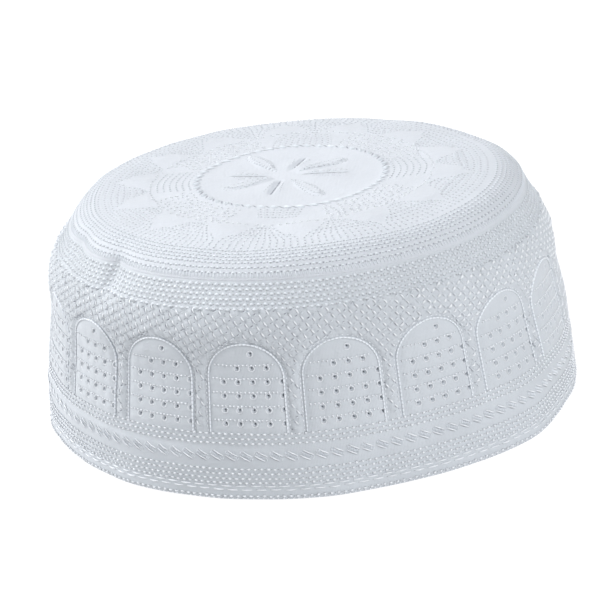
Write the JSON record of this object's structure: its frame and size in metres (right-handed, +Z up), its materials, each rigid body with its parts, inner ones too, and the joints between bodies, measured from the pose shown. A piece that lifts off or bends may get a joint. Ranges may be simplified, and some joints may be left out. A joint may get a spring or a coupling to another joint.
{
  "type": "prayer cap",
  "caption": "Round flat-topped cloth cap with a tall side band, raised arch outlines and eyelets, hollow and open below for the head.",
  "frame": {"origin": "centre of the rim, on the surface that the cap rests on", "axes": "+Z up through the middle of the crown, front of the cap towards -Y"},
  "size_m": [0.1798, 0.1797, 0.0757],
  "materials": {
    "side_band_cloth": "white quilted cotton, matte, embroidered in white thread",
    "crown_cloth": "white quilted cotton, matte, embroidered in white thread"
  },
  "bodies": {
    "root": {"side_band": "side_band_cloth", "crown": "crown_cloth"}
  },
  "joints": []
}
